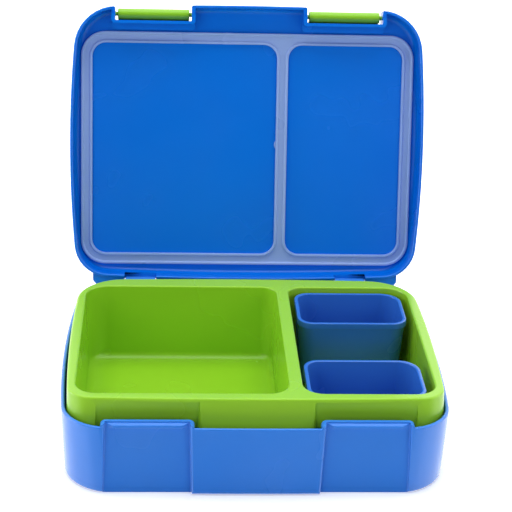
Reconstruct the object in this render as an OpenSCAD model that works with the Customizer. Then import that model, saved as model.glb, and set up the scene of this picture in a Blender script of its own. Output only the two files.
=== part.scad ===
// Two-latch lunch box: a base, a hinged lid with a silicone seal, a lift-out tray and two cups.
// Millimetres, +Z up, origin at the centre of the underside. The lid stands open at rest.

/* [Base] */
// Width over the rim of the base
box_w = 216; // [200:1:240]
// Depth over the rim of the base
box_d = 172; // [165:1:190]
// Height of the rim of the base
base_h = 41.5; // [38:0.5:50]
// Thickness of the walls of the base
base_wall = 2; // [1.6:0.1:2.4]
// Thickness of the floor of the base
base_floor = 2.2; // [1.8:0.1:3]
// How far the foot of the base stands in from its rim
base_draft = 1.3; // [0.5:0.1:2.5]
// Bow of the left and right walls
side_bow = 5; // [2:0.5:7]
// Bow of the front and rear walls
front_bow = 2.5; // [1:0.5:4]
// Radius of the front corners
front_corner_r = 26.5; // [20:0.5:30]
// Radius of the rear corners
rear_corner_r = 21; // [16:0.5:26]

/* [Lid] */
// How far the rim of the lid overhangs the base on each side
lid_overhang = 1.5; // [0:0.1:2.5]
// Thickness of the skirt of the lid
lid_wall = 1.8; // [1.4:0.1:2.2]
// Thickness of the top panel of the lid
lid_top_t = 2.2; // [1.8:0.1:3]
// Angle that the lid stands open at
open_angle = 104.7; // [90:0.1:110]

/* [Tray] */
// How far the rim of the tray stands above the rim of the base
tray_rise = 11.1; // [9.5:0.1:12]
// Wall thickness of the tray
tray_wall = 1.7; // [1.4:0.1:2]
// Width of the side compartment
side_cell_w = 72.6; // [60:0.1:90]
// Width of the divider
divider_w = 7.4; // [6:0.1:8]

/* [Cups] */
// Gap between the rim of a cup and each side of its compartment
cup_side_gap = 3.55; // [3:0.05:6]
// Depth of a cup over its rim
cup_d = 43.5; // [32:0.5:56]
// Wall thickness of a cup
cup_wall = 1.5; // [1.2:0.1:2]

/* [Latches] */
// Distance of each latch from the side of the box
latch_inset = 49.3; // [46:0.1:58]
// Length of the latch barrel
latch_w = 43.6; // [36:0.1:44]
// Radius of the latch barrel
barrel_r = 3.3; // [3:0.1:3.4]
// Thickness of the latch plate
latch_t = 2.35; // [2:0.05:2.6]
// Height of the lower edge of a closed latch above the table
latch_tip_z = 8; // [4:0.5:16]

/* [Hinge] */
// Distance of each hinge ear from the side of the box
ear_inset = 42.3; // [38:0.1:50]
// Width of a hinge ear
ear_w = 18.8; // [14:0.1:20]
// Radius of a hinge ear
ear_r = 5; // [4.8:0.1:6]
// Radius of the hinge pins
pin_r = 1.5; // [1.2:0.1:1.8]

/* [Hidden] */

// Clearances
lid_rim_gap = 0.5;       // closed lid above the rim of the base
loose_gap = 0.3;         // between pieces that rest on one another
ear_side_gap = 0.4;      // between the ends of an ear and the lid
ear_round_gap = 0.4;     // between the round of an ear and the lid
pin_gap = 0.08;          // around a pin that turns
trunnion_gap = 0.06;     // around the trunnions of a latch
latch_side_gap = 1.5;    // between each end of a latch barrel and its pocket
recess_side_gap = 0.95;  // between each side of a closed latch and its recess
barrel_gap = 0.4;        // behind the barrel of a latch
plate_gap = 0.35;        // between the plate of a closed latch and its ridge
hook_gap = 0.9;          // between the hook of a closed latch and its ridge
stop_gap = 0.3;          // between the flange of the open lid and the base
scoop_gap = 1;           // between a latch pocket of the closed lid and the tray
seal_gap = 1.1;          // between the seal and the latch pockets
relief_gap = 0.4;        // between the lid and the catches of the base
trunnion_end_gap = 0.35; // beyond each end of a trunnion
tray_front_gap = 0.1;    // between the pockets of the closed lid and the line of the tray's rim
hood_gap = 0.3;          // between the hood of a latch pocket and the tray
cut = 20;                // overshoot of a cutting shape

// Facets of the bowed outlines
side_steps = 3;
corner_steps = 6;

// The foot of the base
foot_r = 2;
foot_corner = 4;         // how much larger the corners are at the foot
cavity_r = 1.5;

// Catches in the front of the base
latch_x = box_w / 2 - latch_inset;
recess_w = latch_w + 2 * recess_side_gap;
recess_flare = 1.25;
recess_foot_w = recess_w + 2 * recess_flare;
recess_depth = 4.8;
recess_y = -box_d / 2 + recess_depth;
catch_rise = 2.2;
catch_top = base_h + catch_rise;
side_wall = 2.25;        // beside a recess of the base and beside a pocket of the lid
catch_frame_w = recess_w + 2 * side_wall;
catch_corner_r = 3;
catch_t = 1.8;
catch_back_y = recess_y + catch_t;
ridge_end = 4.75;        // how far the nose of a ridge stops short of each side of the recess
ridge_bite = 0.3;
ridge_w = recess_w - 2 * ridge_end;
ridge_out = 2;
ridge_foot_drop = 3.5;
ridge_nose_drop = 1.8;
ridge_head_drop = 0.8;
ridge_foot_z = catch_top - ridge_foot_drop;
ridge_nose_z = catch_top - ridge_nose_drop;
ridge_head_z = catch_top - ridge_head_drop;
ridge_head_out = 0.4;

// Hinge
hinge_back = 2.8;
hinge_rise = 3.5;
hinge_y = box_d / 2 + hinge_back;
hinge_z = base_h + hinge_rise;
ear_x = box_w / 2 - ear_inset;
ear_h = 17.5;
ear_foot_z = base_h - ear_h;
ear_heel = 7;
ear_root = 2.4;
flange_reach = 20.1;
flange_half = ear_x + ear_w / 2 + flange_reach;
flange_slant = 8;
pin_inner_reach = 6;
pin_outer_cover = 8;
pin_inner_x = ear_x - ear_w / 2 - pin_inner_reach;
pin_outer_x = flange_half - pin_outer_cover;

// Lid, drawn closed
lid_rim_z = base_h + lid_rim_gap;
lid_front_inset = 1.2;
lid_rear_inset = 0.8;
lid_front_y = -box_d / 2 + lid_front_inset;
lid_rear_y = box_d / 2 - lid_rear_inset;
// Outline of the lid: [width, front, rear, side bow, front bow, front radius, rear radius]
lid_spec = [box_w + 2 * lid_overhang, lid_front_y, lid_rear_y,
            side_bow, front_bow, front_corner_r, rear_corner_r];
// Rounded edge of the top of the lid: [inset, depth below the top]
lid_crown = [[0.7, 6], [1.8, 2.8], [3.4, 0.9], [6, 0]];
seal_h = 2.3;
groove_h = 0.8;
tray_top = base_h + tray_rise;
seal_foot_z = tray_top + loose_gap;
panel_z = seal_foot_z + seal_h;
lid_top_z = panel_z + lid_top_t;
pocket_w = latch_w + 2 * latch_side_gap;
pocket_frame_w = pocket_w + 2 * side_wall;
pocket_depth = 11.1;
pocket_back_y = -box_d / 2 + pocket_depth;
pocket_wall = 1.8;
pocket_rear_y = pocket_back_y + pocket_wall;
hood_foot_z = tray_top + hood_gap;
hood_t = 1.2;
hood_top_z = hood_foot_z + hood_t;
hood_depth = 4;
riser_y = pocket_back_y + hood_depth;
relief_w = max(pocket_frame_w, catch_frame_w) + 2 * loose_gap;
relief_y = catch_back_y + relief_gap;
relief_z = catch_top + relief_gap;
flange_root = 6;
flange_drop = 2;
flange_foot = 3.6;
flange_back = 6.2;
flange_nose = 0.5;
flange_top = 4.2;
ear_notch_w = ear_w + 2 * ear_side_gap;
ear_notch_top = hinge_z + sqrt(pow(ear_r + ear_round_gap, 2) - pow(hinge_y - lid_rear_y, 2));

// Tray
tray_side_gap = 4;
tray_rear_gap = 4;
tray_half = box_w / 2 - tray_side_gap;
tray_front_y = pocket_rear_y + tray_front_gap;
tray_rear_y = box_d / 2 - tray_rear_gap;
tray_bow = 2.5;
tray_front_bow = 2.2;
tray_front_r = 13.5;
tray_rear_r = 29;
tray_rim_t = 2;
tray_floor = 1.8;
tray_foot_z = base_floor + loose_gap;
skirt_drop = 6.5;
skirt_foot_z = base_h - skirt_drop;
skirt_flare = 3.5;
skirt_side_flare = 0.3;
scoop_side_gap = 2;
scoop_w = pocket_frame_w + 2 * scoop_side_gap;
scoop_y = pocket_rear_y + scoop_gap;
well_side_rim = 6.2;
well_front_rim = 7;
well_rear_rim = 12;
well_half = tray_half - well_side_rim;
well_front = tray_front_y + well_front_rim;
well_rear = tray_rear_y - well_rear_rim;
well_draft = 1.2;
well_r = 8.5;
well_front_r = 11.5;
well_rear_r = 13;
well_floor_z = tray_foot_z + tray_floor;
divider_right = well_half - side_cell_w;
divider_left = divider_right - divider_w;

// Seal, drawn closed
seal_w = 7;
seal_x = (divider_left + divider_right) / 2;
seal_side_reach = 5.4;
seal_rear_reach = 7;
seal_half = well_half + seal_side_reach;
seal_front = riser_y + pocket_wall + seal_gap;
seal_rear = well_rear + seal_rear_reach;
seal_r_outer = 15;
seal_r_inner = 8.5;

// Cups
cup_w = side_cell_w - 2 * cup_side_gap;
cup_drop = 2.9;
cup_top = tray_top - cup_drop;
cup_x = (divider_right + well_half) / 2;
front_cup_shift = 1;     // how far the front cup stands left of the rear one
cup_foot_z = well_floor_z + loose_gap;
cup_end_gap = 1.5;
cup_band = 4;
cup_step = 0.8;
cup_draft = 3;
cup_r = 9;
cup_rear_r = 12;
cup_floor = 1.6;
cup_rear_y = well_rear - cup_end_gap - cup_d / 2;
cup_front_y = well_front + cup_end_gap + cup_d / 2;

// Latch, drawn closed on its axis
latch_y = pocket_back_y - barrel_r - barrel_gap;
latch_rise = 6.8;
latch_z = catch_top + latch_rise;
trunnion_r = 1.3;
trunnion_in = 1.4;
plate_in = recess_y - ridge_out - plate_gap - latch_y;
plate_out = plate_in - latch_t;
plate_tip = latch_tip_z - latch_z;
arm_foot = 4;
arm_kick = 1.5;
arm_t = 2.4;
arm_sole = 0.4;
arm_bend = 1.2;
arm_bend_y = 0.3;
hook_reach = 1.5;
hook_top = ridge_foot_z - hook_gap - latch_z;
hook_chamfer = 0.9;
hook_h = 2.2;

// Radius of an arc with the given half chord and bow
function bow_r(half, bow) = (half * half + bow * bow) / (2 * bow);

// A quarter of a bowed, rounded rectangle, from the +X axis to the +Y axis
function quarter(w, d, bx, by, r) =
    let (rx = bow_r(d / 2, bx),
         ry = bow_r(w / 2, by),
         ax = w / 2 - rx,
         ay = d / 2 - ry,
         gap = norm([ax, ay]),
         along = ((rx - r) * (rx - r) - (ry - r) * (ry - r) + gap * gap) / (2 * gap),
         off = sqrt(max((rx - r) * (rx - r) - along * along, 0)),
         ux = -ax / gap,
         uy = ay / gap,
         cx = ax + along * ux - off * uy,
         cy = along * uy + off * ux,
         side_a = atan2(cy, cx - ax),
         front_a = atan2(cx, cy - ay))
    concat(
        [for (i = [0:side_steps - 1])
            let (t = side_a * i / side_steps) [ax + rx * cos(t), rx * sin(t)]],
        [for (i = [0:corner_steps])
            let (t = side_a + (90 - front_a - side_a) * i / corner_steps)
            [cx + r * cos(t), cy + r * sin(t)]],
        [for (i = [1:side_steps])
            let (t = front_a * (1 - i / side_steps)) [ry * sin(t), ay + ry * cos(t)]]);

// A bowed, rounded rectangle from a spec, moved in on every side by the inset
function ring(spec, inset) =
    let (w = spec[0] - 2 * inset,
         d = spec[2] - spec[1] - 2 * inset,
         mid = (spec[1] + spec[2]) / 2,
         rear = quarter(w, d, spec[3], spec[4], spec[6] - inset),
         front = quarter(w, d, spec[3], spec[4], spec[5] - inset),
         last = len(rear) - 1)
    concat(
        [for (i = [0:last]) [rear[i][0], mid + rear[i][1]]],
        [for (i = [last - 1:-1:0]) [-rear[i][0], mid + rear[i][1]]],
        [for (i = [1:last]) [-front[i][0], mid - front[i][1]]],
        [for (i = [last - 1:-1:1]) [front[i][0], mid - front[i][1]]]);

// A rectangle with its own radius at each corner: rear right, rear left, front left, front right
function round_rect(x0, x1, y0, y1, radii) =
    let (corners = [[x1, y1, -1, -1], [x0, y1, 1, -1], [x0, y0, 1, 1], [x1, y0, -1, 1]])
    [for (k = [0:3])
        for (i = [0:corner_steps])
            let (t = 90 * (k + i / corner_steps), c = corners[k], r = radii[k])
            [c[0] + c[2] * r + r * cos(t), c[1] + c[3] * r + r * sin(t)]];

// A closed solid through rings of equal length at the given heights
module loft(rings, heights) {
    n = len(rings[0]);
    top = len(rings) - 1;
    polyhedron(
        points = [for (k = [0:top]) for (p = rings[k]) [p[0], p[1], heights[k]]],
        faces = concat(
            [[for (i = [0:n - 1]) i]],
            [[for (i = [n - 1:-1:0]) top * n + i]],
            [for (k = [0:top - 1]) for (i = [0:n - 1]) for (half = [0, 1])
                let (a = k * n + i, b = k * n + (i + 1) % n)
                half == 0 ? [a, a + n, b + n] : [a, b + n, b]]));
}

// Extrudes a Y-Z outline along X, centred on X = 0
module along_x(length) {
    rotate([90, 0, 90])
        translate([0, 0, -length / 2])
            linear_extrude(height = length)
                children();
}

// Extrudes an X-Z outline forwards from Y = 0
module forwards(length) {
    rotate([90, 0, 0])
        linear_extrude(height = length)
            children();
}

// A round bar or a bore along X, centred on X = 0
module rod(r, length) {
    rotate([0, 90, 0])
        cylinder(r = r, h = length, center = true, $fn = 48);
}

// Turns what is drawn closed to where the open lid holds it
module opened() {
    translate([0, hinge_y, hinge_z])
        rotate([-open_angle, 0, 0])
            translate([0, -hinge_y, -hinge_z])
                children();
}

// Outline of the drafted wall of the base at a height, moved in by the inset
function base_ring(z, inset) =
    let (down = 1 - z / base_h)
    ring([box_w, -box_d / 2, box_d / 2, side_bow, front_bow,
          front_corner_r + foot_corner * down, rear_corner_r + foot_corner * down],
         base_draft * down + inset);

module base_body(top_z) {
    loft([base_ring(0, foot_r), base_ring(0, foot_r * 0.3), base_ring(foot_r, 0), base_ring(top_z, 0)],
         [0, foot_r * 0.3, foot_r, top_z]);
}

module base_cavity() {
    loft([base_ring(base_floor, base_wall + cavity_r),
          base_ring(base_floor + cavity_r, base_wall),
          base_ring(base_h + 1, base_wall)],
         [base_floor, base_floor + cavity_r, base_h + 1]);
}

// The raised frame around a latch recess, before the recess is cut
module catch_frame() {
    translate([0, catch_back_y, 0])
        forwards(cut)
            polygon(concat(
                [[-catch_frame_w / 2, 0.5], [catch_frame_w / 2, 0.5]],
                [for (i = [0:6]) let (t = 15 * i)
                    [catch_frame_w / 2 - catch_corner_r * (1 - cos(t)),
                     catch_top - catch_corner_r * (1 - sin(t))]],
                [for (i = [6:-1:0]) let (t = 15 * i)
                    [-catch_frame_w / 2 + catch_corner_r * (1 - cos(t)),
                     catch_top - catch_corner_r * (1 - sin(t))]]));
}

module latch_recess() {
    translate([0, recess_y, 0])
        forwards(cut)
            polygon([[-recess_foot_w / 2, -1], [recess_foot_w / 2, -1],
                     [recess_w / 2, base_h], [recess_w / 2, catch_top + 1],
                     [-recess_w / 2, catch_top + 1], [-recess_w / 2, base_h]]);
}

// The ridge that a latch hooks under, with slanted ends that run into the sides of the recess
module catch_ridge() {
    root = recess_w / 2 + ridge_bite;
    nose_y = recess_y - ridge_out;
    intersection() {
        along_x(2 * root)
            polygon([[catch_back_y, ridge_foot_z], [nose_y, ridge_foot_z], [nose_y, ridge_nose_z],
                     [recess_y - ridge_head_out, ridge_head_z], [catch_back_y, ridge_head_z]]);
        linear_extrude(height = catch_top)
            polygon([[-root, catch_back_y], [-root, recess_y], [-ridge_w / 2, nose_y],
                     [ridge_w / 2, nose_y], [root, recess_y], [root, catch_back_y]]);
    }
}

module hinge_ear() {
    difference() {
        union() {
            translate([0, hinge_y, hinge_z])
                rod(ear_r, ear_w);
            along_x(ear_w)
                polygon([[box_d / 2 - ear_root, ear_foot_z],
                         [hinge_y + ear_r, hinge_z - ear_heel],
                         [hinge_y + ear_r, hinge_z],
                         [hinge_y - ear_r, hinge_z],
                         [box_d / 2 - ear_root, base_h - 0.5]]);
        }
        translate([0, hinge_y, hinge_z])
            rod(pin_r, ear_w + 2);
    }
}

module base() {
    color("royalblue") {
        difference() {
            union() {
                difference() {
                    base_body(base_h);
                    base_cavity();
                }
                intersection() {
                    base_body(catch_top);
                    for (side = [-1, 1])
                        translate([side * latch_x, 0, 0])
                            catch_frame();
                }
            }
            for (side = [-1, 1])
                translate([side * latch_x, 0, 0])
                    latch_recess();
        }
        for (side = [-1, 1]) {
            translate([side * latch_x, 0, 0])
                catch_ridge();
            translate([side * ear_x, 0, 0])
                hinge_ear();
        }
    }
}

module hinge_pin(side) {
    color("silver")
        translate([side * (pin_inner_x + pin_outer_x) / 2, hinge_y, hinge_z])
            rod(pin_r, pin_outer_x - pin_inner_x);
}

module hinge_pin_left() {
    hinge_pin(-1);
}

module hinge_pin_right() {
    hinge_pin(1);
}

module lid_body() {
    loft(concat([ring(lid_spec, 0)], [for (step = lid_crown) ring(lid_spec, step[0])]),
         concat([lid_rim_z], [for (step = lid_crown) lid_top_z - step[1]]));
}

module lid_cavity() {
    loft([ring(lid_spec, lid_wall), ring(lid_spec, lid_wall + lid_crown[0][0]),
          ring(lid_spec, lid_wall + lid_crown[1][0])],
         [lid_rim_z - 0.01, lid_top_z - lid_crown[0][1], panel_z]);
}

// Hinge flange along the rear of the lid; its slanted underside meets the base when the lid is open
module lid_flange() {
    root = -hinge_back - flange_root;
    under = stop_gap - hinge_back;
    intersection() {
        translate([0, hinge_y, hinge_z])
            along_x(2 * flange_half)
                polygon(concat(
                    [[root, -flange_drop],
                     [-flange_foot, -flange_drop],
                     [0, under / sin(open_angle)],
                     [flange_back, (under - flange_back * cos(open_angle)) / sin(open_angle)],
                     [flange_back, flange_nose]],
                    [for (i = [1:6]) let (t = 15 * i)
                        [flange_back - flange_top * (1 - cos(t)), flange_top * sin(t)]],
                    [[root, flange_top]]));
        linear_extrude(height = 2 * hinge_z)
            polygon([[-flange_half, 0], [flange_half, 0], [flange_half, box_d / 2],
                     [flange_half - flange_slant, hinge_y + flange_back],
                     [flange_slant - flange_half, hinge_y + flange_back],
                     [-flange_half, box_d / 2]]);
    }
}

// Walls and hood around a latch pocket, before the pocket is cut
module pocket_frame() {
    along_x(pocket_frame_w)
        polygon([[-box_d / 2 - cut, lid_rim_z], [pocket_rear_y, lid_rim_z],
                 [pocket_rear_y, hood_foot_z], [riser_y + pocket_wall, hood_foot_z],
                 [riser_y + pocket_wall, lid_top_z + 1], [-box_d / 2 - cut, lid_top_z + 1]]);
}

module pocket() {
    along_x(pocket_w)
        polygon([[-box_d / 2 - cut, lid_rim_z - 1], [pocket_back_y, lid_rim_z - 1],
                 [pocket_back_y, hood_top_z], [riser_y, hood_top_z],
                 [riser_y, lid_top_z + 1], [-box_d / 2 - cut, lid_top_z + 1]]);
    along_x(relief_w)
        polygon([[-box_d / 2 - cut, lid_rim_z - 1], [relief_y, lid_rim_z - 1],
                 [relief_y, relief_z], [-box_d / 2 - cut, relief_z]]);
    translate([0, latch_y, latch_z])
        rod(trunnion_r + trunnion_gap, pocket_w + 2 * (trunnion_in + trunnion_end_gap));
}

// Room for a hinge ear in the skirt and the flange of the lid
module ear_notch() {
    translate([-ear_notch_w / 2, box_d / 2 - 8, lid_rim_z - cut])
        cube([ear_notch_w, cut, cut + ear_notch_top - lid_rim_z]);
    translate([0, hinge_y, hinge_z])
        rod(ear_r + ear_round_gap, ear_notch_w);
}

function cell_ring(x0, x1, inset) =
    round_rect(x0 + inset, x1 - inset, seal_front + inset, seal_rear - inset,
               [seal_r_inner, seal_r_inner, seal_r_inner, seal_r_inner]);

module seal_outline() {
    difference() {
        polygon(round_rect(-seal_half, seal_half, seal_front, seal_rear,
                           [seal_r_outer, seal_r_outer, seal_r_outer, seal_r_outer]));
        polygon(cell_ring(-seal_half, seal_x + seal_w / 2, seal_w));
        polygon(cell_ring(seal_x - seal_w / 2, seal_half, seal_w));
    }
}

module lid() {
    color("royalblue")
        opened()
            difference() {
                union() {
                    difference() {
                        union() {
                            lid_body();
                            lid_flange();
                        }
                        lid_cavity();
                    }
                    intersection() {
                        lid_body();
                        for (side = [-1, 1])
                            translate([side * latch_x, 0, 0])
                                pocket_frame();
                    }
                }
                for (side = [-1, 1]) {
                    translate([side * latch_x, 0, 0])
                        pocket();
                    translate([side * ear_x, 0, 0])
                        ear_notch();
                    translate([side * (pin_inner_x + pin_outer_x + 2) / 2, hinge_y, hinge_z])
                        rod(pin_r + pin_gap, pin_outer_x - pin_inner_x + 3);
                }
                translate([0, 0, panel_z - 0.01])
                    linear_extrude(height = groove_h + 0.01)
                        seal_outline();
            }
}

module lid_seal() {
    color("lightcyan")
        opened()
            translate([0, 0, seal_foot_z])
                linear_extrude(height = seal_h + groove_h)
                    seal_outline();
}

// Rim outline of the tray
tray_spec = [2 * tray_half, tray_front_y, tray_rear_y,
             tray_bow, tray_front_bow, tray_front_r, tray_rear_r];
// Outline of the foot of its skirt
skirt_spec = [2 * (tray_half + skirt_side_flare), tray_front_y - skirt_flare, tray_rear_y,
              tray_bow, tray_front_bow, tray_front_r + 1, tray_rear_r];

module tray_body() {
    loft([ring(skirt_spec, 0), ring(tray_spec, 0), ring(tray_spec, 0.3), ring(tray_spec, 1)],
         [skirt_foot_z, tray_top - 2, tray_top - 0.6, tray_top]);
}

module tray_hollow() {
    loft([ring(skirt_spec, tray_wall), ring(tray_spec, tray_wall)],
         [skirt_foot_z - 0.01, tray_top - tray_rim_t]);
}

// A compartment, as the space inside it or grown outwards by its wall
module well(x0, x1, radii, grow, foot_z, head_z) {
    loft([round_rect(x0 + well_draft - grow, x1 - well_draft + grow,
                     well_front + well_draft - grow, well_rear - well_draft + grow,
                     [for (r = radii) r + grow]),
          round_rect(x0 - grow, x1 + grow, well_front - grow, well_rear + grow,
                     [for (r = radii) r + grow])],
         [foot_z, head_z]);
}

module wells(grow, foot_z, head_z) {
    well(-well_half, divider_left, [well_r, well_rear_r, well_front_r, well_front_r],
         grow, foot_z, head_z);
    well(divider_right, well_half, [well_rear_r, well_r, well_front_r, well_front_r],
         grow, foot_z, head_z);
}

// The recess in the front of the skirt that clears a latch pocket of the closed lid
module scoop() {
    half = scoop_w / 2;
    head = tray_top - tray_rim_t - skirt_foot_z;
    translate([0, scoop_y, skirt_foot_z])
        forwards(cut)
            polygon([[-half, -1], [half, -1], [half, head], [-half, head]]);
}

// The wall at the back of a scoop; its head runs into the rim of the tray
module scoop_wall() {
    half = scoop_w / 2 + tray_wall;
    head = tray_top - tray_rim_t / 2 - skirt_foot_z;
    translate([0, scoop_y + tray_wall, skirt_foot_z])
        forwards(tray_wall + scoop_gap)
            polygon([[-half, 0], [half, 0], [half, head], [-half, head]]);
}

module tray() {
    color("yellowgreen")
        difference() {
            union() {
                difference() {
                    union() {
                        difference() {
                            tray_body();
                            tray_hollow();
                        }
                        for (side = [-1, 1])
                            translate([side * latch_x, 0, 0])
                                scoop_wall();
                    }
                    for (side = [-1, 1])
                        translate([side * latch_x, 0, 0])
                            scoop();
                }
                wells(tray_wall, tray_foot_z, tray_top - 1);
            }
            wells(0, well_floor_z, tray_top + 0.01);
        }
}

module cup(x, y) {
    w = cup_w / 2;
    d = cup_d / 2;
    radii = [cup_rear_r, cup_r, cup_r, cup_r];
    translate([x, y, 0])
        difference() {
            union() {
                loft([round_rect(-w + cup_draft, w - cup_draft, -d + cup_draft, d - cup_draft, radii),
                      round_rect(-w + cup_step, w - cup_step, -d + cup_step, d - cup_step, radii)],
                     [cup_foot_z, cup_top - cup_band]);
                translate([0, 0, cup_top - cup_band])
                    linear_extrude(height = cup_band)
                        polygon(round_rect(-w, w, -d, d, radii));
            }
            loft([round_rect(-w + cup_draft + cup_wall, w - cup_draft - cup_wall,
                             -d + cup_draft + cup_wall, d - cup_draft - cup_wall,
                             [for (r = radii) r - cup_wall]),
                  round_rect(-w + cup_step + cup_wall, w - cup_step - cup_wall,
                             -d + cup_step + cup_wall, d - cup_step - cup_wall,
                             [for (r = radii) r - cup_wall])],
                 [cup_foot_z + cup_floor, cup_top + 0.01]);
        }
}

module cup_rear() {
    color("royalblue")
        cup(cup_x, cup_rear_y);
}

module cup_front() {
    color("royalblue")
        cup(cup_x - front_cup_shift, cup_front_y);
}

// Y-Z outline of a closed latch around its axis
module latch_outline() {
    hook_y = plate_in + hook_reach;
    polygon([[-barrel_r, 0], [-barrel_r, -arm_foot], [plate_out, -arm_foot - arm_kick],
             [plate_out, plate_tip], [plate_in, plate_tip],
             [plate_in, hook_top - hook_h], [hook_y, hook_top - hook_chamfer],
             [hook_y, hook_top], [plate_in, hook_top],
             [plate_in, -arm_foot - arm_kick - arm_bend], [arm_bend_y - barrel_r, -arm_foot - arm_sole],
             [arm_t - barrel_r, -arm_foot - arm_sole], [0, 0]]);
}

module latch(side) {
    color("yellowgreen")
        opened()
            translate([side * latch_x, latch_y, latch_z])
                rotate([180, 0, 0]) {
                    rod(barrel_r, latch_w);
                    rod(trunnion_r, pocket_w + 2 * trunnion_in);
                    along_x(latch_w)
                        latch_outline();
                }
}

module latch_left() {
    latch(-1);
}

module latch_right() {
    latch(1);
}

base();
hinge_pin_left();
hinge_pin_right();
tray();
cup_rear();
cup_front();
lid();
lid_seal();
latch_left();
latch_right();
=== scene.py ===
import math

import bmesh
import bpy
from mathutils import Matrix, Vector


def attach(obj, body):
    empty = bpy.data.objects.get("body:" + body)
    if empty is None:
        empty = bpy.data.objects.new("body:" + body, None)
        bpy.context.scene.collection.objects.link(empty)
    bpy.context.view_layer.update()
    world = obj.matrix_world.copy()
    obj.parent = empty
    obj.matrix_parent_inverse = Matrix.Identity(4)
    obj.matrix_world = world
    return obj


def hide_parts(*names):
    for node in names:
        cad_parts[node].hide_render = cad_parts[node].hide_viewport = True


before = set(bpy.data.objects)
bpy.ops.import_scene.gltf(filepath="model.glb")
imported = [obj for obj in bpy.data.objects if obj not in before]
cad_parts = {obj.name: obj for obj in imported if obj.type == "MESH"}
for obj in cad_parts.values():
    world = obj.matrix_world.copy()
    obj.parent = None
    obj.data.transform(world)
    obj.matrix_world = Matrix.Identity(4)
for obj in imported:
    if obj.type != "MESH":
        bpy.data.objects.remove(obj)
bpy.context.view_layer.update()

# Sizes in millimetres. The lid, seal and latches are drawn closed and then opened.
# A shape is a width, a front and a rear, the bow of its sides and of its ends, and the radii of its front
# and rear corners.
BOX_W, BOX_D, BASE_H = 216.0, 172.0, 41.5
FRONT, REAR = -BOX_D / 2, BOX_D / 2
SIDE_BOW, END_BOW, FRONT_CORNER, REAR_CORNER = 5.0, 2.5, 26.5, 21.0
BASE_WALL, BASE_FLOOR, FOOT_CORNER, FOOT_ROUND, COVE_R = 2.0, 2.2, 4.0, 2.0, 4.0
DRAFT = 1.3
CATCH_X, CATCH_TOP, CATCH_FRAME_W, CATCH_FRAME_R = 58.7, 43.7, 50.0, 2.9
RECESS_W, RECESS_FOOT_W, RECESS_Y, RECESS_ROUND = 45.5, 48.0, -81.2, 1.3
CATCH_BACK_Y = -79.4
RIDGE_W, RIDGE_Y = 36.0, -83.2
HINGE_Y, HINGE_Z = 88.8, 45.0
EAR_X, EAR_W, EAR_R, EAR_FOOT_Z = 65.7, 18.8, 5.0, 24.0
OPEN_ANGLE = math.radians(104.7)

LID_SHAPE = (219.0, -84.8, 85.2, SIDE_BOW, END_BOW, FRONT_CORNER, REAR_CORNER)
LID_RIM_Z, PANEL_Z, LID_TOP_Z, LID_WALL = 42.0, 55.2, 57.4, 1.8
CROWN_Z, CROWN_RISE, CROWN_INSET, CROWN_RUN = 51.4, 6.0, 0.7, 5.3
HOLLOW_INSET, HOLLOW_R = 2.3, 3.2
POCKET_W, POCKET_FRAME_W, POCKET_ROUND = 46.6, 51.1, 1.4
POCKET_BACK_Y, POCKET_REAR_Y, RISER_Y = -74.9, -73.1, -70.9
HOOD_FOOT_Z, HOOD_TOP_Z = 52.9, 54.1
RELIEF_W, RELIEF_Y, RELIEF_Z = 51.7, -79.0, 44.1
FLANGE_HALF, FLANGE_SLANT, FLANGE_RISE, FLANGE_DEPTH = 95.2, 8.0, 4.2, 6.2
FLANGE_LAP, FLANGE_DROP, FLANGE_STOP = 8.8, 2.0, 0.3 - 2.8
NOTCH_W, NOTCH_TOP = 19.6, 49.02
PIN_INNER_X, PIN_OUTER_X, PIN_R = 50.3, 87.2, 1.5

TRAY_TOP, TRAY_WALL, TRAY_RIM_T, TRAY_ROUND = 52.6, 1.7, 2.0, 1.2
TRAY_SHAPE = (208.0, -73.0, 82.0, 2.5, 2.2, 13.5, 29.0)
SKIRT_SHAPE = (208.6, -76.5, 82.0, 2.5, 2.2, 14.5, 29.0)
SKIRT_FOOT_Z, SCOOP_W, SCOOP_Y, SCOOP_ROUND, SCOOP_WALL_R = 35.0, 55.1, -72.1, 2.6, 4.5
WELL_HALF, WELL_FRONT, WELL_REAR = 97.8, -66.0, 70.0
DIVIDER_LEFT, DIVIDER_RIGHT = 17.8, 25.2
WELL_R, WELL_FRONT_R, WELL_REAR_R = 8.5, 11.5, 13.0
WELL_FLOOR_Z, WELL_FOOT_R, WELL_DRAFT, TRAY_FOOT_Z = 4.3, 5.0, 1.2, 2.5

SEAL_HALF, SEAL_FRONT, SEAL_REAR, SEAL_W = 103.2, -68.0, 77.0, 7.0
SEAL_X, SEAL_FOOT_Z, SEAL_CORNER, CELL_CORNER = 21.5, 52.9, 15.0, 8.5
TAB_R, TAB_T = 3.9, 1.1

CUP_W, CUP_D, CUP_FOOT_Z, CUP_TOP = 65.5, 43.5, 4.6, 49.7
CUP_BAND, CUP_FOOT_R, CUP_FLOOR = 4.0, 4.0, 1.6
CUPS = {"cup_rear": (61.5, 46.75), "cup_front": (60.5, -42.75)}

LATCH_Y, LATCH_Z, LATCH_W, BARREL_R = -78.6, 50.5, 43.6, 3.3
PLATE_IN, PLATE_OUT, PLATE_TIP, HOOK_TOP = -4.95, -7.3, -42.5, -11.2
TRUNNION_R, TRUNNION_HALF = 1.3, 24.7


# ---- outlines ----

def angles(*degrees):
    return [math.radians(a) for a in degrees]


def bow_radius(half, bow):
    """The radius of an arc that rises by bow over half its chord."""
    return (half * half + bow * bow) / (2 * bow)


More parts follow.
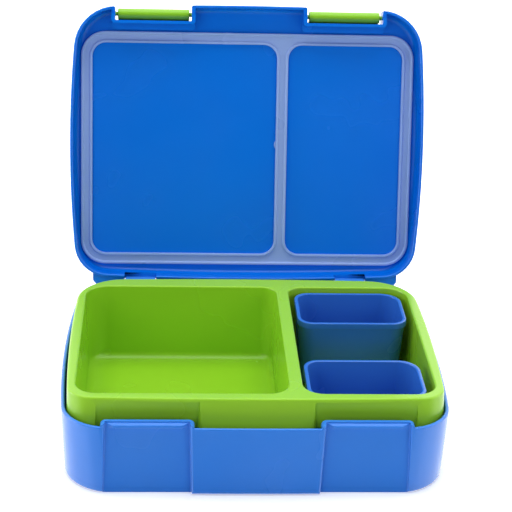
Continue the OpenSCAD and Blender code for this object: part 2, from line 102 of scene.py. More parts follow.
def quarter(w, d, side_bow, end_bow, r, corner=9, side=8):
    """A quarter of a bowed, rounded rectangle, from the +X axis to the +Y axis."""
    rx, ry = bow_radius(d / 2, side_bow), bow_radius(w / 2, end_bow)
    ax, ay = w / 2 - rx, d / 2 - ry
    gap = math.hypot(ax, ay)
    along = ((rx - r) ** 2 - (ry - r) ** 2 + gap * gap) / (2 * gap)
    off = math.sqrt(max((rx - r) ** 2 - along * along, 0))
    ux, uy = -ax / gap, ay / gap
    cx, cy = ax + along * ux - off * uy, along * uy + off * ux
    side_a, end_a = math.atan2(cy, cx - ax), math.atan2(cx, cy - ay)
    points = [(ax + rx * math.cos(side_a * i / side), rx * math.sin(side_a * i / side))
              for i in range(side)]
    turn = math.pi / 2 - end_a - side_a
    points += [(cx + r * math.cos(side_a + turn * i / corner),
                cy + r * math.sin(side_a + turn * i / corner)) for i in range(corner + 1)]
    points += [(ry * math.sin(end_a * (1 - i / side)), ay + ry * math.cos(end_a * (1 - i / side)))
               for i in range(1, side + 1)]
    return points


def bowed(shape, inset=0.0):
    """The whole outline of a bowed, rounded rectangle, moved in by inset."""
    w, d = shape[0] - 2 * inset, shape[2] - shape[1] - 2 * inset
    mid = (shape[1] + shape[2]) / 2
    rear = quarter(w, d, shape[3], shape[4], max(shape[6] - inset, 0.5))
    front = quarter(w, d, shape[3], shape[4], max(shape[5] - inset, 0.5))
    return ([(x, mid + y) for x, y in rear] + [(-x, mid + y) for x, y in rear[-2::-1]]
            + [(-x, mid - y) for x, y in front[1:]] + [(x, mid - y) for x, y in front[-2:0:-1]])


def rounded(x0, x1, y0, y1, radii, corner=8):
    """A rectangle with its own corner radii: rear right, rear left, front left, front right."""
    corners = ((x1, y1, -1, -1), (x0, y1, 1, -1), (x0, y0, 1, 1), (x1, y0, -1, 1))
    points = []
    for k, (x, y, sx, sy) in enumerate(corners):
        r = radii[k]
        for i in range(corner + 1):
            t = math.pi / 2 * (k + i / corner)
            points.append((x + sx * r + r * math.cos(t), y + sy * r + r * math.sin(t)))
    return points


def bow_at(width, bow, x):
    """How far a bowed front of that width has drawn back at x."""
    radius = bow_radius(width / 2, bow)
    return radius - math.sqrt(radius * radius - x * x)


def notch(x, half, back, front, most):
    """The plan of a notch in a front wall, with sides that curve out of its back and round over."""
    far = -100.0
    turns = [max(min(most, 0.62 * (back - front(x + side * half))), 0.1) for side in (-1, 1)]
    points = rounded(x - half, x + half, far, back, (turns[1] / 2, turns[0] / 2, 0.2, 0.2))
    points = points[:len(points) // 2]  # the two rear corners
    for side, turn in zip((-1, 1), turns):
        y = min(front(x + side * (half + turn)), back - 1.6 * turn)
        edge = [(x + side * (half + turn - turn * math.cos(t)), y + turn - turn * math.sin(t))
                for t in angles(*range(0, 91, 15))]
        edge.append((edge[-1][0], far))
        points += edge if side < 0 else edge[::-1]
    return points


# ---- making pieces ----

def skin(bm, sections):
    """Walls through outlines, each with its height; returns the edges of the first and the last."""
    points, z = sections[0]
    verts = [bm.verts.new((x, y, z)) for x, y in points]
    first = edges = [bm.edges.new(pair) for pair in zip(verts, verts[1:] + verts[:1])]
    for points, z in sections[1:]:
        out = bmesh.ops.extrude_edge_only(bm, edges=edges)["geom"]
        fresh = {v for v in out if isinstance(v, bmesh.types.BMVert)}
        edges = [e for e in out if isinstance(e, bmesh.types.BMEdge) and fresh.issuperset(e.verts)]
        verts = [next(e.other_vert(v) for e in v.link_edges if e.other_vert(v) in fresh)
                 for v in verts]
        for v, (x, y) in zip(verts, points):
            v.co = (x, y, z)
    return first, edges


def loft(bm, sections):
    """A closed solid through outlines, each with its height."""
    for ends in skin(bm, sections):
        bmesh.ops.edgeloop_fill(bm, edges=ends)


def prism(bm, points, axis, low, high):
    """Extrudes an outline along X (points are Y, Z) or along Y (points are X, Z)."""
    place = (lambda a, b: (low, a, b)) if axis == "X" else (lambda a, b: (a, low, b))
    face = bm.faces.new([bm.verts.new(place(a, b)) for a, b in points])
    out = bmesh.ops.extrude_face_region(bm, geom=[face])
    step = (high - low, 0, 0) if axis == "X" else (0, high - low, 0)
    bmesh.ops.translate(bm, vec=step,
                        verts=[v for v in out["geom"] if isinstance(v, bmesh.types.BMVert)])


def rod(bm, r, x0, x1, y, z, segments):
    """A round bar along X."""
    turn = Matrix.Translation(((x0 + x1) / 2, y, z)) @ Matrix.Rotation(math.pi / 2, 4, "Y")
    bmesh.ops.create_cone(bm, cap_ends=True, segments=segments, radius1=r, radius2=r,
                          depth=x1 - x0, matrix=turn)


def piece(name, make):
    """A new object whose mesh is what make draws in a bmesh."""
    bm = bmesh.new()
    make(bm)
    bmesh.ops.recalc_face_normals(bm, faces=bm.faces)
    mesh = bpy.data.meshes.new(name)
    bm.to_mesh(mesh)
    bm.free()
    obj = bpy.data.objects.new(name, mesh)
    bpy.context.scene.collection.objects.link(obj)
    return obj


def apply_modifiers(obj):
    """Keeps the mesh as the modifiers leave it, and drops them."""
    bpy.context.view_layer.update()
    graph = bpy.context.evaluated_depsgraph_get()
    mesh = bpy.data.meshes.new_from_object(obj.evaluated_get(graph))
    obj.modifiers.clear()
    obj.data = mesh


def combine(obj, tool, operation):
    """Cuts, joins or intersects obj with tool, and removes tool."""
    m = obj.modifiers.new("combine", "BOOLEAN")
    m.operation, m.object, m.solver = operation, tool, "EXACT"
    apply_modifiers(obj)
    bpy.data.objects.remove(tool)
    return obj


def edit(obj, work):
    """Runs work on the mesh of obj as a bmesh."""
    bm = bmesh.new()
    bm.from_mesh(obj.data)
    work(bm)
    bm.to_mesh(obj.data)
    bm.free()
    return obj


def clean(obj):
    """Merges points that fall together and dissolves the edges inside flat faces."""
    def work(bm):
        bmesh.ops.remove_doubles(bm, verts=bm.verts, dist=0.004)
        bmesh.ops.dissolve_degenerate(bm, edges=bm.edges, dist=0.003)
        bmesh.ops.dissolve_limit(bm, angle_limit=math.radians(0.1), verts=bm.verts, edges=bm.edges)
    return edit(obj, work)


def round_edges(obj, width, where=None, sharper=35, segments=3):
    """Rounds the edges that turn more than an angle and lie where the test says."""
    def work(bm):
        edges = [e for e in bm.edges if len(e.link_faces) == 2
                 and e.calc_face_angle(0) > math.radians(sharper)
                 and (where is None or where((e.verts[0].co + e.verts[1].co) / 2))]
        bmesh.ops.bevel(bm, geom=edges, offset=width, offset_type="OFFSET", affect="EDGES",
                        segments=segments, profile=0.5, material=-1, clamp_overlap=True)
    return edit(obj, work)


def opened(obj):
    """Turns a piece drawn closed to where the open lid holds it."""
    hinge = Matrix.Translation((0, HINGE_Y, HINGE_Z))
    obj.data.transform(hinge @ Matrix.Rotation(-OPEN_ANGLE, 4, "X") @ hinge.inverted())
    return obj


def finished(obj, body, node, material):
    """Puts a drawn piece in metres on its body, in place of its CAD node."""
    obj.data.transform(Matrix.Scale(0.001, 4))
    obj.data.set_sharp_from_angle(angle=math.radians(42))
    for polygon in obj.data.polygons:
        polygon.use_smooth = True
    m = obj.modifiers.new("shading", "WEIGHTED_NORMAL")
    m.keep_sharp = True
    apply_modifiers(obj)
    obj.data.materials.clear()
    obj.data.materials.append(material)
    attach(obj, body)
    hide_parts(node)
    return obj


# ---- materials ----

GRAIN = 0.008


def set_inputs(node, values):
    for name, value in values.items():
        node.inputs[name].default_value = value


def plastic(name, colour, dark, roughness=0.24):
    """Moulded plastic: a slight shift of colour, a fine mould grain and uneven gloss."""
    material = bpy.data.materials.new(name)
    material.use_nodes = True
    nodes, links = material.node_tree.nodes, material.node_tree.links
    shader = nodes["Principled BSDF"]
    place = nodes.new("ShaderNodeTexCoord")

    def noise(scale, detail):
        n = nodes.new("ShaderNodeTexNoise")
        set_inputs(n, {"Scale": scale, "Detail": detail})
        links.new(place.outputs["Object"], n.inputs["Vector"])
        return n

    cloud, fine, haze = noise(14, 3), noise(900, 1), noise(22, 2)
    ramp = nodes.new("ShaderNodeValToRGB")
    for stop, position, tone in zip(ramp.color_ramp.elements, (0.3, 0.7), (dark, colour)):
        stop.position, stop.color = position, (*tone, 1)
    links.new(cloud.outputs["Fac"], ramp.inputs["Fac"])
    links.new(ramp.outputs["Color"], shader.inputs["Base Color"])
    gloss = nodes.new("ShaderNodeMapRange")
    set_inputs(gloss, {"From Min": 0.3, "From Max": 0.7,
                       "To Min": roughness - 0.04, "To Max": roughness + 0.05})
    links.new(haze.outputs["Fac"], gloss.inputs["Value"])
    links.new(gloss.outputs["Result"], shader.inputs["Roughness"])
    bump = nodes.new("ShaderNodeBump")
    set_inputs(bump, {"Strength": GRAIN, "Distance": 0.0001})
    links.new(fine.outputs["Fac"], bump.inputs["Height"])
    links.new(bump.outputs["Normal"], shader.inputs["Normal"])
    return material


BASE_BLUE = plastic("base blue polypropylene", (0.026, 0.188, 0.680), (0.023, 0.176, 0.650))
# The lid is the same blue plastic as the base; its deeper, more saturated blue is painted light, standing
# in for light shining through the lid and for its weaker sheen.
LID_BLUE_PAINTED_LIGHT = plastic("lid blue polypropylene with painted light", (0.000, 0.150, 0.690), (0.000, 0.140, 0.660))
CUP_BLUE = plastic("cup blue polypropylene", (0.030, 0.150, 0.560), (0.027, 0.140, 0.530))
TRAY_GREEN = plastic("tray green polypropylene", (0.265, 0.550, 0.022), (0.250, 0.527, 0.020))
LATCH_GREEN = plastic("latch green polypropylene", (0.230, 0.520, 0.022), (0.215, 0.495, 0.020))
SEAL_SILICONE = plastic("clear silicone", (0.26, 0.38, 0.72), (0.22, 0.34, 0.68), roughness=0.3)
PIN_STEEL = plastic("drawn steel", (0.55, 0.55, 0.57), (0.5, 0.5, 0.52), roughness=0.3)
PIN_STEEL.node_tree.nodes["Principled BSDF"].inputs["Metallic"].default_value = 1.0


# ---- base ----

def base_ring(z, inset=0.0):
    """Outline of the drafted outside of the base at a height, moved in by inset."""
    down = 1 - z / BASE_H
    grow = FOOT_CORNER * down
    shape = (BOX_W, FRONT, REAR, SIDE_BOW, END_BOW, FRONT_CORNER + grow, REAR_CORNER + grow)
    return bowed(shape, DRAFT * down + inset)


def base_outside(top_z):
    """Outlines of the outside of the base, from its rounded foot up to a height."""
    r = FOOT_ROUND
    foot = [(base_ring(r, r - r * math.sin(t)), r - r * math.cos(t))
            for t in angles(8, 30, 50, 70, 90)]
    return [(base_ring(0.0, r + 0.1), 0.0)] + foot + [(base_ring(top_z), top_z)]


def base_shell(bm):
    """The bare base: up its outside, over its round lip and down to its coved floor."""
    r = BASE_WALL / 2
    lip = [(base_ring(BASE_H, r * (1 - math.cos(t))), BASE_H - r * (1 - math.sin(t)))
           for t in angles(*range(20, 181, 20))]
    cove_z = BASE_FLOOR + COVE_R
    cove = [(base_ring(cove_z, BASE_WALL + COVE_R - COVE_R * math.cos(t)),
             cove_z - COVE_R * math.sin(t)) for t in angles(0, 20, 40, 60, 90)]
    loft(bm, base_outside(BASE_H - r) + lip + cove)


def catch_frame(x):
    """The raised frame that stands above the rim of the base around a catch."""
    def make(bm):
        half, r = CATCH_FRAME_W / 2, CATCH_FRAME_R
        arc = angles(*range(0, 91, 10))
        right = [(x + half - r * (1 - math.cos(t)), CATCH_TOP - r * (1 - math.sin(t))) for t in arc]
        left = [(x - half + r * (1 - math.cos(t)), CATCH_TOP - r * (1 - math.sin(t))) for t in arc]
        prism(bm, [(x - half, 1.2), (x + half, 1.2)] + right + left[::-1], "Y",
              CATCH_BACK_Y, CATCH_BACK_Y - 20)
    return make


def base_front(z):
    """Where the drafted, bowed front of the base lies at a height, as a function of x."""
    return lambda x: FRONT + DRAFT * (1 - z / BASE_H) + bow_at(BOX_W, END_BOW, x)


def recess(x):
    """The room for the plate of a latch, wider at its foot."""
    sides = ((-1.0, RECESS_FOOT_W / 2), (BASE_H, RECESS_W / 2), (CATCH_TOP + 3.0, RECESS_W / 2))
    return lambda bm: loft(bm, [(notch(x, half, RECESS_Y, base_front(z), RECESS_ROUND), z)
                                for z, half in sides])


def ridge(x):
    """The ridge that the hook of a latch catches on, with slanted ends."""
    def make(bm):
        foot, nose, head = CATCH_TOP - 3.5, CATCH_TOP - 1.8, CATCH_TOP - 0.8
        prism(bm, [(RECESS_Y + 1, foot), (RIDGE_Y, foot), (RIDGE_Y, nose), (RECESS_Y - 0.4, head),
                   (RECESS_Y + 1, head)], "X", x - RECESS_W / 2 - 0.4, x + RECESS_W / 2 + 0.4)
        for v in bm.verts:
            out = max(0.0, (RECESS_Y - v.co.y) / (RECESS_Y - RIDGE_Y))
            v.co.x -= math.copysign(out * (RECESS_W - RIDGE_W) / 2, v.co.x - x)
    return make


def hinge_ear(x):
    """The ear that holds a hinge pin, rooted in the rear wall of the base."""
    def make(bm):
        profile = [(HINGE_Y + EAR_R * math.cos(t), HINGE_Z + EAR_R * math.sin(t))
                   for t in angles(*range(0, 181, 10))]
        root = REAR - 2.3
        profile += [(root, BASE_H - 1.3), (root, EAR_FOOT_Z), (HINGE_Y + EAR_R, HINGE_Z - 7.0)]
        prism(bm, profile, "X", x - EAR_W / 2, x + EAR_W / 2)
    return make


base = piece("base_shell", base_shell)
for side in (-1, 1):
    frame_block = piece("catch_frame", catch_frame(side * CATCH_X))
    tall_base = piece("tall_base", lambda bm: loft(bm, base_outside(CATCH_TOP)))
    combine(frame_block, tall_base, "INTERSECT")
    combine(base, frame_block, "UNION")
for side in (-1, 1):
    combine(base, piece("recess", recess(side * CATCH_X)), "DIFFERENCE")
clean(base)
round_edges(base, 0.7, where=lambda p: p.y < -70 and p.z > 0.3, sharper=40)
for side in (-1, 1):
    ridge_bar = piece("ridge", ridge(side * CATCH_X))
    round_edges(ridge_bar, 0.4, sharper=20)
    combine(base, ridge_bar, "UNION")
    ear = piece("hinge_ear", hinge_ear(side * EAR_X))
    round_edges(ear, 0.6, sharper=50)
    combine(base, ear, "UNION")
finished(base, "base", "base", BASE_BLUE)


# ---- hinge pins ----

for side, node in ((-1, "hinge_pin_left"), (1, "hinge_pin_right")):
    inner, outer = sorted((side * PIN_INNER_X, side * PIN_OUTER_X))
    pin = piece("steel_" + node, lambda bm: rod(bm, PIN_R, inner, outer, HINGE_Y, HINGE_Z, 32))
    round_edges(pin, 0.3, sharper=60)
    finished(pin, "base", node, PIN_STEEL)


# ---- lid ----

def lid_crown():
    """Outlines of the rounded top edge of the lid, from its wall up to its flat top."""
    return [(bowed(LID_SHAPE, CROWN_INSET + CROWN_RUN * (1 - math.cos(t))),
             CROWN_Z + CROWN_RISE * math.sin(t)) for t in angles(0, 12, 25, 38, 51, 64, 77, 90)]


def lid_shell(bm):
    """The bare lid: from its inside panel down, around its round rim and up to its crown."""
    half, r = LID_WALL / 2, HOLLOW_R
    lip = [(bowed(LID_SHAPE, half * (1 + math.cos(t))), LID_RIM_Z + half * (1 - math.sin(t)))
           for t in angles(*range(0, 181, 20))]
    hollow = [(bowed(LID_SHAPE, HOLLOW_INSET + r * (1 - math.cos(t))), PANEL_Z - r + r * math.sin(t))
              for t in angles(90, 72, 54, 36, 18, 0)]
    loft(bm, hollow + lip + lid_crown())


def flange(bm):
    """The flange behind the lid; its slanted underside stops the open lid at the base."""
    top, back, under = FLANGE_RISE, FLANGE_DEPTH, FLANGE_STOP
    profile = [(HINGE_Y - FLANGE_LAP, HINGE_Z - FLANGE_DROP), (HINGE_Y - 3.6, HINGE_Z - FLANGE_DROP),
               (HINGE_Y, HINGE_Z + under / math.sin(OPEN_ANGLE)),
               (HINGE_Y + back,
                HINGE_Z + (under - back * math.cos(OPEN_ANGLE)) / math.sin(OPEN_ANGLE)),
               (HINGE_Y + back, HINGE_Z + 0.5)]
    profile += [(HINGE_Y + back - top * (1 - math.cos(t)), HINGE_Z + top * math.sin(t))
                for t in angles(*range(15, 91, 15))]
    profile += [(HINGE_Y - FLANGE_LAP, HINGE_Z + top)]
    prism(bm, profile, "X", -FLANGE_HALF, FLANGE_HALF)


def pocket_walls(x):
    """A stepped block that becomes the walls around a latch pocket."""
    def make(bm):
        prism(bm, [(FRONT - 10, LID_RIM_Z), (POCKET_REAR_Y, LID_RIM_Z),
                   (POCKET_REAR_Y, HOOD_FOOT_Z), (RISER_Y + LID_WALL, HOOD_FOOT_Z),
                   (RISER_Y + LID_WALL, LID_TOP_Z + 1), (FRONT - 10, LID_TOP_Z + 1)], "X",
              x - POCKET_FRAME_W / 2, x + POCKET_FRAME_W / 2)
    return make


def pocket(x, back, foot, top):
    """The room in front of a back wall, with rounded corners and shoulders."""
    front = lambda u: LID_SHAPE[1] + bow_at(LID_SHAPE[0], END_BOW, u)
    plan = notch(x, POCKET_W / 2, back, front, POCKET_ROUND)
    return lambda bm: loft(bm, [(plan, foot), (plan, top)])


def relief(x):
    """The low front of the lid beside a pocket, cut away for the frame of the catch."""
    def make(bm):
        prism(bm, [(FRONT - 12, LID_RIM_Z - 2), (RELIEF_Y, LID_RIM_Z - 2), (RELIEF_Y, RELIEF_Z),
                   (FRONT - 12, RELIEF_Z)], "X", x - RELIEF_W / 2, x + RELIEF_W / 2)
    return make


def flange_ends(bm):
    """A block with slanted rear corners that trims the ends of the flange."""
    back = HINGE_Y + FLANGE_DEPTH + 0.1
    loft(bm, [([(-FLANGE_HALF, 60), (FLANGE_HALF, 60), (FLANGE_HALF, REAR),
                (FLANGE_HALF - FLANGE_SLANT, back), (FLANGE_SLANT - FLANGE_HALF, back),
                (-FLANGE_HALF, REAR)], z) for z in (20.0, 70.0)])


def ear_notch(x):
    """The gap in the flange for an ear of the base."""
    def make(bm):
        prism(bm, [(REAR - 8, 22.0), (REAR + 14, 22.0), (REAR + 14, NOTCH_TOP),
                   (REAR - 8, NOTCH_TOP)], "X", x - NOTCH_W / 2, x + NOTCH_W / 2)
    return make


def lid_solid(bm):
    loft(bm, [(bowed(LID_SHAPE), LID_RIM_Z)] + lid_crown())


def lid_hollow(bm):
    """The room under the lid, as one block that trims the flange."""
    loft(bm, [(bowed(LID_SHAPE, LID_WALL - 0.02), LID_RIM_Z - 1),
              (bowed(LID_SHAPE, HOLLOW_INSET), CROWN_Z + 0.6),
              (bowed(LID_SHAPE, HOLLOW_INSET + HOLLOW_R), PANEL_Z)])


lid = piece("lid_shell", lid_shell)
hinge_flange = piece("hinge_flange", flange)
combine(hinge_flange, piece("flange_ends", flange_ends), "INTERSECT")
combine(hinge_flange, piece("hollow", lid_hollow), "DIFFERENCE")
clean(hinge_flange)
round_edges(hinge_flange, 0.5, where=lambda p: p.y > REAR - 0.5, sharper=30)
combine(lid, hinge_flange, "UNION")
for side in (-1, 1):
    x = side * CATCH_X
    walls = piece("pocket_walls", pocket_walls(x))
    round_edges(walls, 2.6, where=lambda p: abs(p.x - x) > POCKET_FRAME_W / 2 - 0.1 and p.y > -80
                and p.z < LID_TOP_Z + 0.9 and abs(p.z - HOOD_FOOT_Z) > 0.1, segments=5)
    combine(walls, piece("solid", lid_solid), "INTERSECT")
    combine(lid, walls, "UNION")
for side in (-1, 1):
    x = side * CATCH_X
    combine(lid, piece("pocket", pocket(x, POCKET_BACK_Y, LID_RIM_Z - 1, LID_TOP_Z + 2)), "DIFFERENCE")
    combine(lid, piece("pocket", pocket(x, RISER_Y, HOOD_TOP_Z, LID_TOP_Z + 3)), "DIFFERENCE")
    combine(lid, piece("relief", relief(x)), "DIFFERENCE")
    x = side * EAR_X
    combine(lid, piece("notch", ear_notch(x)), "DIFFERENCE")
    combine(lid, piece("ear_room", lambda bm: rod(bm, EAR_R + 0.4, x - NOTCH_W / 2, x + NOTCH_W / 2,
                                                  HINGE_Y, HINGE_Z, 48)), "DIFFERENCE")
clean(lid)
round_edges(lid, 0.4, where=lambda p: p.y < -76 or (p.y < -60 and p.z < 52)
            or (p.y > 78 and p.z < 51), sharper=45, segments=2)
opened(lid)
finished(lid, "lid", "lid", LID_BLUE_PAINTED_LIGHT)


# ---- seal ----

def seal_body(bm):
    """A flat silicone strip with a raised lip along each edge, and a bar between its two cells."""
    outer = lambda inset: rounded(-SEAL_HALF + inset, SEAL_HALF - inset, SEAL_FRONT + inset,
                                  SEAL_REAR - inset, (SEAL_CORNER - inset,) * 4, 10)
    cells = ((-SEAL_HALF + SEAL_W, SEAL_X - SEAL_W / 2), (SEAL_X + SEAL_W / 2, SEAL_HALF - SEAL_W))
    inner = lambda k, grow: rounded(cells[k][0] - grow, cells[k][1] + grow,
                                    SEAL_FRONT + SEAL_W - grow, SEAL_REAR - SEAL_W + grow,
                                    (CELL_CORNER + grow,) * 4, 10)
    top, foot, valley = PANEL_Z + 0.25, SEAL_FOOT_Z, SEAL_FOOT_Z + 1.3
    lip = ((0.0, top), (0.0, foot + 0.5), (0.15, foot + 0.15), (0.5, foot), (1.1, foot),
           (1.45, foot + 0.15), (1.65, foot + 0.5), (1.9, valley - 0.15), (2.2, valley))
    ends = [skin(bm, [(outer(d), z) for d, z in lip])]
    ends += [skin(bm, [(inner(k, d), z) for d, z in lip]) for k in (0, 1)]
    for k in (0, 1):
        bmesh.ops.triangle_fill(bm, edges=[e for pair in ends for e in pair[k]], use_beauty=True)


def seal_tab(bm):
    """The round finger tab on the bar of the seal."""
    bmesh.ops.create_cone(bm, cap_ends=True, segments=64, radius1=TAB_R, radius2=TAB_R, depth=TAB_T,
                          matrix=Matrix.Translation((SEAL_X - SEAL_W / 2 + 3.0, 1.0, PANEL_Z - 0.35)))


seal = piece("seal_strip", seal_body)
tab = piece("seal_tab", seal_tab)
round_edges(tab, 0.3, sharper=50)
combine(seal, tab, "UNION")
opened(seal)
finished(seal, "lid", "lid_seal", SEAL_SILICONE)


# ---- tray ----

def tray_rim(bm):
    """The skirt and the flat top of the tray as one block, with a rounded outer edge."""
    r = TRAY_ROUND
    edge = [(bowed(TRAY_SHAPE, r * (1 - math.cos(t))), TRAY_TOP - r + r * math.sin(t))
            for t in angles(0, 22, 45, 67, 90)]
    loft(bm, [(bowed(SKIRT_SHAPE), SKIRT_FOOT_Z)] + edge)


def inside_skirt(bm):
    """A block just inside the outer face of the skirt; it trims the walls of the scoops."""
    loft(bm, [(bowed(SKIRT_SHAPE, 0.3), SKIRT_FOOT_Z), (bowed(TRAY_SHAPE, 0.3), TRAY_TOP)])


def tray_hollow(bm):
    """The room under the top of the tray, inside its skirt."""
    loft(bm, [(bowed(SKIRT_SHAPE, TRAY_WALL + 0.1), SKIRT_FOOT_Z - 1),
              (bowed(SKIRT_SHAPE, TRAY_WALL), SKIRT_FOOT_Z),
              (bowed(TRAY_SHAPE, TRAY_WALL), TRAY_TOP - TRAY_RIM_T)])


def well(x0, x1, radii, grow, floor_z, top_z):
    """A compartment with a rounded foot, as the space inside it or grown by its wall."""
    def make(bm):
        r, sections = WELL_FOOT_R, []
        for t in angles(90, 70, 50, 30, 10):
            inset = WELL_DRAFT + r * (1 - math.cos(t)) - grow
            sections.append((rounded(x0 + inset, x1 - inset, WELL_FRONT + inset, WELL_REAR - inset,
                                     [q - inset * 0.6 for q in radii]),
                             floor_z + r - r * math.sin(t)))
        sections.append((rounded(x0 - grow, x1 + grow, WELL_FRONT - grow, WELL_REAR + grow,
                                 [q + grow for q in radii]), top_z))
        loft(bm, sections)
    return make


def scoop_block(x, half, back, r, top):
    """A block in front of the back of a scoop, with rounded rear corners."""
    return lambda bm: loft(bm, [(rounded(x - half, x + half, -95.0, back, (r, r, 0.2, 0.2)), z)
                                for z in (SKIRT_FOOT_Z - 2.0, top)])


def tray_front(z):
    """Where the flared, bowed front of the tray lies at a height, as a function of x."""
    up = (z - SKIRT_FOOT_Z) / (TRAY_TOP - TRAY_ROUND - SKIRT_FOOT_Z)
    middle = SKIRT_SHAPE[1] + up * (TRAY_SHAPE[1] - SKIRT_SHAPE[1])
    return lambda x: middle + bow_at(TRAY_SHAPE[0], TRAY_SHAPE[4], x)


def scoop(x):
    """The room in the skirt of the tray for the frame of a catch."""
    return lambda bm: loft(bm, [(notch(x, SCOOP_W / 2, SCOOP_Y, tray_front(z), SCOOP_ROUND), z)
                                for z in (SKIRT_FOOT_Z - 2.0, TRAY_TOP - TRAY_RIM_T)])


WELLS = ((-WELL_HALF, DIVIDER_LEFT, (WELL_R, WELL_REAR_R, WELL_FRONT_R, WELL_FRONT_R)),
         (DIVIDER_RIGHT, WELL_HALF, (WELL_REAR_R, WELL_R, WELL_FRONT_R, WELL_FRONT_R)))
tray = piece("divided_tray", tray_rim)
combine(tray, piece("hollow", tray_hollow), "DIFFERENCE")
for side in (-1, 1):
    x, half = side * CATCH_X, SCOOP_W / 2
    scoop_wall = piece("scoop_wall", scoop_block(x, half + TRAY_WALL, SCOOP_Y + TRAY_WALL,
                                                 SCOOP_WALL_R, TRAY_TOP - 1.3))
    combine(scoop_wall, piece("inside", inside_skirt), "INTERSECT")
    combine(tray, scoop_wall, "UNION")
    combine(tray, piece("scoop", scoop(x)), "DIFFERENCE")
clean(tray)
round_edges(tray, 0.9, where=lambda p: p.y < -70 and SKIRT_FOOT_Z + 0.3 < p.z < TRAY_TOP - 1.3,
            sharper=40)
for x0, x1, radii in WELLS:
    combine(tray, piece("well_wall", well(x0, x1, radii, TRAY_WALL, TRAY_FOOT_Z, TRAY_TOP - 1)),
            "UNION")
for x0, x1, radii in WELLS:
    combine(tray, piece("well", well(x0, x1, radii, 0.0, WELL_FLOOR_Z, TRAY_TOP + 0.01)),
            "DIFFERENCE")
clean(tray)
round_edges(tray, 1.0, where=lambda p: p.z > TRAY_TOP - 0.1, sharper=50, segments=4)
finished(tray, "tray", "tray", TRAY_GREEN)


# ---- cups ----

def cup_body(x, y):
    """A tapered cup with a band under its rim, drawn from its foot over the rim to its floor."""
    def make(bm):
        w, d = CUP_W / 2, CUP_D / 2
        radii = (12.0, 9.0, 9.0, 9.0)
        band_z = CUP_TOP - CUP_BAND

        def ring(inset, shrink):
            return rounded(x - w + inset, x + w - inset, y - d + inset, y + d - inset,
                           [q - shrink for q in radii], 9)

        r = CUP_FOOT_R
        foot = [(ring(3.0 + r * (1 - math.cos(t)), r * (1 - math.cos(t)) * 0.8),
                 CUP_FOOT_Z + r - r * math.sin(t)) for t in angles(90, 72, 54, 36, 18, 0)]
        band = [(ring(0.8, 0.2), band_z - 0.3), (ring(0.65, 0.2), band_z - 0.05),
                (ring(0.25, 0), band_z + 0.1), (ring(0, 0), band_z + 0.4),
                (ring(0, 0), CUP_TOP - 0.7), (ring(0.2, 0.2), CUP_TOP - 0.2),
                (ring(0.7, 0.5), CUP_TOP), (ring(1.6, 1.2), CUP_TOP), (ring(2.1, 1.6), CUP_TOP - 0.2),
                (ring(2.3, 1.8), CUP_TOP - 0.7)]
        inner = [(ring(4.4 + r * (1 - math.cos(t)), 1.8 + r * (1 - math.cos(t)) * 0.8),
                  CUP_FOOT_Z + CUP_FLOOR + r - r * math.sin(t)) for t in angles(0, 18, 36, 54, 72, 90)]
        loft(bm, foot + band + inner)
    return make


for node, (x, y) in CUPS.items():
    cup = piece(node.replace("cup", "snack_cup"), cup_body(x, y))
    finished(cup, node, node, CUP_BLUE)


# ---- latches ----

def latch_body(x):
    """A latch around its own axis: its barrel, the arm, and the plate with its hook."""
    def make(bm):
        profile = [(BARREL_R * math.cos(t), BARREL_R * math.sin(t))
                   for t in angles(*range(180, -75, -10))]
        profile += [(-0.9, -3.175), (-0.9, -4.4), (-3.0, -4.4), (PLATE_IN, -6.7),
                    (PLATE_IN, HOOK_TOP), (PLATE_IN + 1.5, HOOK_TOP), (PLATE_IN + 1.5, HOOK_TOP - 0.9),
                    (PLATE_IN, HOOK_TOP - 2.2), (PLATE_IN, PLATE_TIP), (PLATE_OUT, PLATE_TIP),
                    (PLATE_OUT, -5.5), (-BARREL_R, -4.0)]
        prism(bm, profile, "X", x - LATCH_W / 2, x + LATCH_W / 2)
    return make


for side, node in ((-1, "latch_left"), (1, "latch_right")):
    x = side * CATCH_X
    latch = piece("clip_" + node, latch_body(x))
    round_edges(latch, 0.5, sharper=40)
    combine(latch, piece("trunnions", lambda bm: rod(bm, TRUNNION_R, x - TRUNNION_HALF,
                                                     x + TRUNNION_HALF, 0, 0, 32)), "UNION")
    latch.data.transform(Matrix.Translation((0, LATCH_Y, LATCH_Z)) @ Matrix.Rotation(math.pi, 4, "X"))
    opened(latch)
    finished(latch, node, node, LATCH_GREEN)


# ---- camera, lights and floor ----

def camera():
    elevation, yaw, roll = math.radians(23.578), math.radians(3.504), math.radians(1.921)
    target, distance = Vector((0.000787, 0, 0.104005)), 0.88473
    forward = Vector((math.sin(yaw) * math.cos(elevation), math.cos(yaw) * math.cos(elevation),
                      -math.sin(elevation)))
    right = Vector((math.cos(yaw), -math.sin(yaw), 0))
    up = right.cross(forward)
    turned_right = math.cos(roll) * right + math.sin(roll) * up
    turned_up = -math.sin(roll) * right + math.cos(roll) * up
    data = bpy.data.cameras.new("camera")
    data.sensor_width, data.lens = 36.0, 110.66
    cam = bpy.data.objects.new("camera", data)
    place = Matrix((turned_right, turned_up, -forward)).transposed().to_4x4()
    place.translation = target - forward * distance
    cam.matrix_world = place
    bpy.context.scene.collection.objects.link(cam)
    bpy.context.scene.camera = cam


def softbox(name, location, aim, size, power, mirrored=True):
    """A rectangular lamp; mirrored says whether the plastic shows its reflection."""
    data = bpy.data.lights.new(name, "AREA")
    data.shape, data.size, data.size_y, data.energy = "RECTANGLE", size[0], size[1], power
    lamp = bpy.data.objects.new(name, data)
    lamp.visible_glossy = mirrored
    lamp.location = location
    lamp.rotation_euler = (Vector(aim) - Vector(location)).to_track_quat("-Z", "Y").to_euler()
    bpy.context.scene.collection.objects.link(lamp)


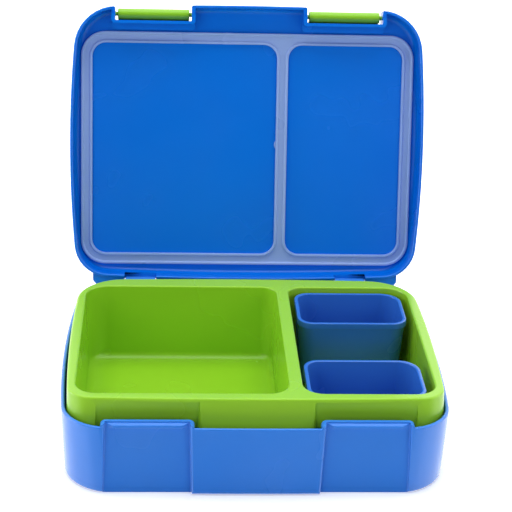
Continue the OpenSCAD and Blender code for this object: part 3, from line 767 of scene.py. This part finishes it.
def white_floor():
    """A floor that glows white to the camera, most of all far away, and still takes the shadow."""
    material = bpy.data.materials.new("white floor")
    material.use_nodes = True
    nodes, links = material.node_tree.nodes, material.node_tree.links
    shader = nodes["Principled BSDF"]
    set_inputs(shader, {"Base Color": (0.9, 0.9, 0.9, 1), "Roughness": 0.9,
                        "Specular IOR Level": 0.0, "Emission Color": (1, 1, 1, 1)})
    place = nodes.new("ShaderNodeTexCoord")
    away = nodes.new("ShaderNodeVectorMath")
    away.operation = "LENGTH"
    links.new(place.outputs["Object"], away.inputs[0])
    far = nodes.new("ShaderNodeMapRange")
    set_inputs(far, {"From Min": 0.15, "From Max": 0.5, "To Min": 0.3, "To Max": 1.0})
    links.new(away.outputs["Value"], far.inputs["Value"])
    path = nodes.new("ShaderNodeLightPath")
    glow = nodes.new("ShaderNodeMath")
    glow.operation = "MULTIPLY"
    links.new(path.outputs["Is Camera Ray"], glow.inputs[0])
    links.new(far.outputs["Result"], glow.inputs[1])
    links.new(glow.outputs["Value"], shader.inputs["Emission Strength"])
    return material


def studio():
    """Light from behind and beside, dim in front, strong in reflections, white to the camera."""
    world = bpy.data.worlds.new("studio")
    world.use_nodes = True
    nodes, links = world.node_tree.nodes, world.node_tree.links
    place = nodes.new("ShaderNodeTexCoord")
    split = nodes.new("ShaderNodeSeparateXYZ")
    links.new(place.outputs["Generated"], split.inputs["Vector"])

    def by_depth(front, back, dim, bright):
        ramp = nodes.new("ShaderNodeMapRange")
        set_inputs(ramp, {"From Min": front, "From Max": back, "To Min": dim, "To Max": bright})
        links.new(split.outputs["Y"], ramp.inputs["Value"])
        return ramp.outputs["Result"]

    def combined(operation, a, b):
        n = nodes.new("ShaderNodeMath")
        n.operation = operation
        links.new(a, n.inputs[0])
        links.new(b, n.inputs[1])
        return n.outputs["Value"]

    path = nodes.new("ShaderNodeLightPath")
    mirrored = combined("MULTIPLY", path.outputs["Is Glossy Ray"], by_depth(-0.8, -0.35, 0.0, 1.9))
    lit = combined("MAXIMUM", by_depth(-0.6, 0.3, 0.06, 0.9), mirrored)
    seen = combined("MAXIMUM", path.outputs["Is Camera Ray"], lit)
    links.new(seen, nodes["Background"].inputs["Strength"])
    nodes["Background"].inputs["Color"].default_value = (1, 1, 1, 1)
    bpy.context.scene.world = world


camera()
studio()
softbox("overhead", (0.0, 0.1, 1.2), (0, 0, 0.05), (1.2, 0.9), 13, mirrored=False)
softbox("front_left", (-0.8, -1.3, 0.7), (0, 0, 0.08), (0.8, 0.8), 6, mirrored=False)
softbox("front_right", (0.9, -1.2, 0.6), (0, 0, 0.08), (0.8, 0.8), 5, mirrored=False)
softbox("side_left", (-1.1, 0.0, 0.25), (0, 0, 0.06), (0.5, 0.5), 4)
softbox("side_right", (1.1, 0.0, 0.25), (0, 0, 0.06), (0.5, 0.5), 1.2)

floor_mesh = bmesh.new()
bmesh.ops.create_grid(floor_mesh, x_segments=1, y_segments=1, size=4.0,
                      matrix=Matrix.Translation((0, 0, -0.0002)))
floor_data = bpy.data.meshes.new("floor")
floor_mesh.to_mesh(floor_data)
floor_mesh.free()
floor = bpy.data.objects.new("floor", floor_data)
floor_data.materials.append(white_floor())
bpy.context.scene.collection.objects.link(floor)
floor.visible_glossy = False

bpy.context.scene.view_settings.view_transform = "Standard"
